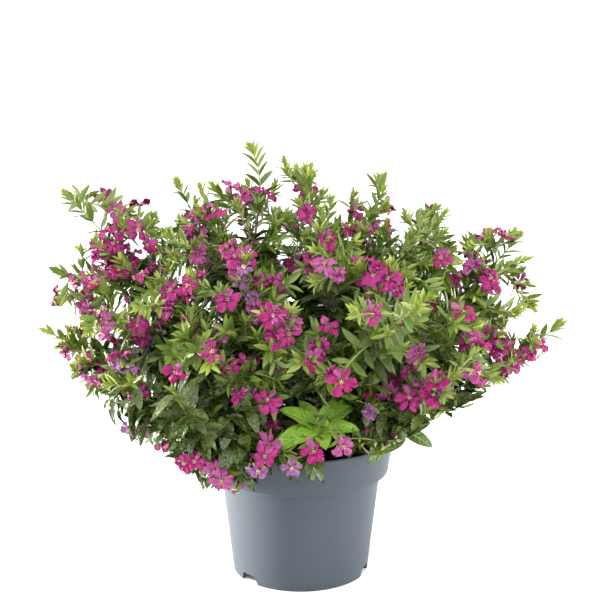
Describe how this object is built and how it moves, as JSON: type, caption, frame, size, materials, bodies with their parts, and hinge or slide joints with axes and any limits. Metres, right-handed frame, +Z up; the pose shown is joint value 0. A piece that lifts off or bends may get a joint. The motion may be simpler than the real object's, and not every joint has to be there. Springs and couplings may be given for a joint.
{
  "type": "potted cuphea shrub",
  "caption": "Bushy flowering cuphea shrub in a round nursery pot, with forking stems, boughs and separate masses of leaves and small pink flowers.",
  "frame": {"origin": "centre of the pot's foot, on the plane that the pot stands on", "axes": "+Z up along the pot's axis, X across the crown's longest extent, -Y towards the front of the pictured plant"},
  "size_m": [0.367, 0.3, 0.3025],
  "materials": {
    "pot_plastic": "satin blue-grey moulded plastic",
    "peat": "moist crumbly dark brown peat",
    "bark": "thin brown bark",
    "foliage": "satin green leaves with pink flowers",
    "young_foliage": "satin lime green young leaves",
    "petals": "soft matt magenta petals"
  },
  "bodies": {
    "root": {"bough_lower_1": "bark", "bough_lower_2": "bark", "bough_lower_3": "bark", "bough_lower_4": "bark", "bough_lower_5": "bark", "bough_lower_6": "bark", "bough_lower_7": "bark", "bough_top_1": "bark", "bough_top_2": "bark", "bough_top_3": "bark", "bough_upper_1": "bark", "bough_upper_2": "bark", "bough_upper_3": "bark", "bough_upper_4": "bark", "bough_upper_5": "bark", "bough_upper_6": "bark", "foliage_front_rosette": "young_foliage", "foliage_lower_1": "foliage", "foliage_lower_2": "foliage", "foliage_lower_3": "foliage", "foliage_lower_4": "foliage", "foliage_lower_5": "foliage", "foliage_lower_6": "foliage", "foliage_lower_7": "foliage", "foliage_top_1": "foliage", "foliage_top_2": "foliage", "foliage_top_3": "foliage", "foliage_upper_1": "foliage", "foliage_upper_2": "foliage", "foliage_upper_3": "foliage", "foliage_upper_4": "foliage", "foliage_upper_5": "foliage", "foliage_upper_6": "foliage", "pot": "pot_plastic", "potting_soil": "peat", "stem_1": "bark", "stem_2": "bark", "stem_3": "bark"}
  },
  "joints": []
}
